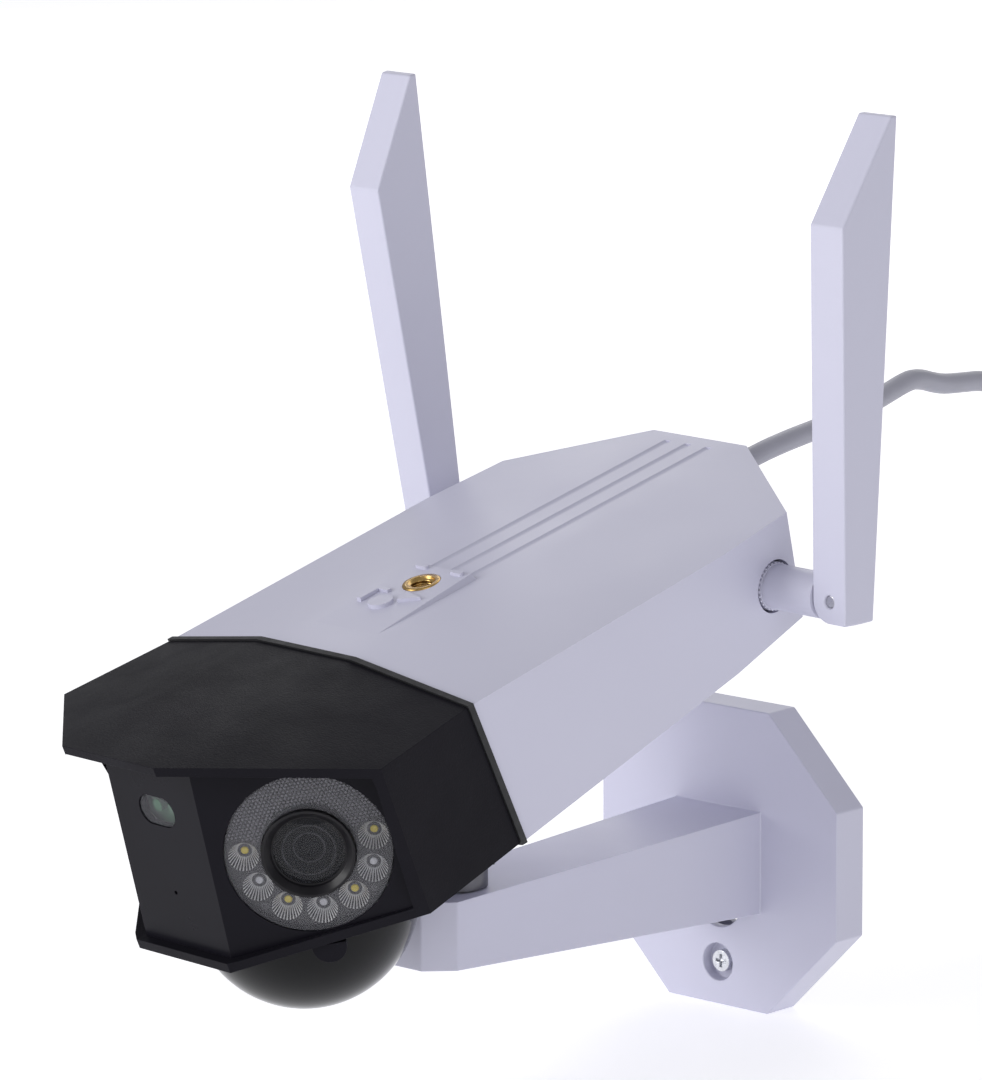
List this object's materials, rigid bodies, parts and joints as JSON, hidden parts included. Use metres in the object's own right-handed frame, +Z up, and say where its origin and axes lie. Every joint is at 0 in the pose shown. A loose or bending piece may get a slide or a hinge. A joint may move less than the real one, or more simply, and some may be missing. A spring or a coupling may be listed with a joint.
{
  "type": "outdoor security camera",
  "caption": "Angular bullet camera with a hooded two-lens face, domed motion sensor and folding paddle antennas on an octagonal wall bracket with pan and tilt.",
  "frame": {"origin": "centre of the wall bracket's back face, in the plane of the wall", "axes": "+Y into the wall, -Y the way the camera looks, +Z up, +X the camera's own left"},
  "size_m": [0.1539, 0.3893, 0.232],
  "materials": {
    "white_shell": "satin",
    "base_plastic": "satin",
    "black_shell": "fine texture",
    "face_gloss": "satin gloss",
    "black_rubber": "matte",
    "clear_window": "clear",
    "lens_housing": "matte",
    "lens_glass": "coated",
    "chip_black": "matte",
    "board_green": "solder mask",
    "reflector_silver": "polished",
    "board_white": "satin",
    "white_lamp": "phosphor",
    "infrared_lamp": "clear",
    "steel": "satin",
    "dome_black": "polished",
    "heat_sink_metal": "satin",
    "grey_plastic": "matte",
    "button_plastic": "matte",
    "brass": "satin",
    "lead_black": "matte",
    "cable_jacket": "satin",
    "connector_plastic": "satin",
    "cast_metal": "satin",
    "zinc": "zinc plated"
  },
  "bodies": {
    "bracket": {"wall_bracket": "white_shell", "wall_base": "base_plastic", "bracket_lock_screw": "zinc"},
    "pan_head": {"pan_post": "cast_metal", "pan_screw": "zinc", "tilt_bolt": "zinc", "tilt_nut": "zinc"},
    "button": {"reset_button": "button_plastic"},
    "left_antenna_foot": {"left_antenna_base": "white_shell", "left_hinge_pin": "steel"},
    "left_antenna": {"left_paddle": "white_shell"},
    "right_antenna_foot": {"right_antenna_base": "white_shell", "right_hinge_pin": "steel"},
    "right_antenna": {"right_paddle": "white_shell"},
    "head": {"main_housing": "white_shell", "front_hood": "black_shell", "hood_gasket": "black_rubber", "face_plate": "face_gloss", "ring_windows": "clear_window", "lens_barrels": "lens_housing", "front_lenses": "lens_glass", "rear_lenses": "lens_glass", "lens_holders": "lens_housing", "image_sensors": "chip_black", "sensor_boards": "board_green", "lamp_reflectors": "reflector_silver", "lamp_boards": "board_white", "white_lamps": "white_lamp", "infrared_lamps": "infrared_lamp", "light_sensor_window": "clear_window", "light_sensor_board": "board_green", "microphone": "steel", "microphone_gasket": "black_rubber", "motion_dome": "dome_black", "dome_gasket": "black_rubber", "motion_sensor_board": "board_green", "motion_sensor": "steel", "main_board": "board_green", "processor": "chip_black", "memory_chips": "chip_black", "heat_sink": "heat_sink_metal", "wifi_module": "steel", "board_screws": "steel", "speaker": "grey_plastic", "card_reader": "steel", "card_cover": "white_shell", "card_cover_screws": "steel", "hood_screws": "steel", "roof_insert": "brass", "floor_insert": "brass", "antenna_sockets": "brass", "antenna_leads": "lead_black", "cable_gland": "cable_jacket", "cable": "cable_jacket", "cable_coil": "cable_jacket", "cable_tie": "button_plastic", "cable_junction": "connector_plastic", "network_socket": "connector_plastic", "power_socket": "button_plastic", "camera_shoe": "cast_metal"}
  },
  "joints": [
    {"name": "pan", "type": "hinge", "parent": "bracket", "child": "pan_head", "pos_m": [0, -0.106, 0.005], "axis": [0, 0, 1], "range_deg": [-85.5, 94.5]},
    {"name": "tilt", "type": "hinge", "parent": "pan_head", "child": "head", "pos_m": [0, -0.106, 0.025], "axis": [0.9969, -0.0785, 0], "range_deg": [-18, 9]},
    {"name": "left_antenna_turn", "type": "hinge", "parent": "head", "child": "left_antenna_foot", "pos_m": [0.05494, -0.05158, 0.08076], "axis": [0.9969, -0.0785, 0], "range_deg": [-76, 104]},
    {"name": "left_antenna_fold", "type": "hinge", "parent": "left_antenna_foot", "child": "left_antenna", "pos_m": [0.07488, -0.05315, 0.08076], "axis": [0.0784, 0.9968, 0.0175], "range_deg": [0, 90]},
    {"name": "right_antenna_turn", "type": "hinge", "parent": "head", "child": "right_antenna_foot", "pos_m": [-0.04575, -0.04365, 0.08076], "axis": [0.9969, -0.0785, 0], "range_deg": [-87, 93]},
    {"name": "right_antenna_fold", "type": "hinge", "parent": "right_antenna_foot", "child": "right_antenna", "pos_m": [-0.06569, -0.04208, 0.08076], "axis": [-0.0767, -0.9751, -0.2079], "range_deg": [0, 90]},
    {"name": "reset_press", "type": "slide", "parent": "head", "child": "button", "axis": [-0.0297, -0.3768, 0.9258], "range_m": [0, 0.0005], "stiffness_N_per_m": 600}
  ]
}
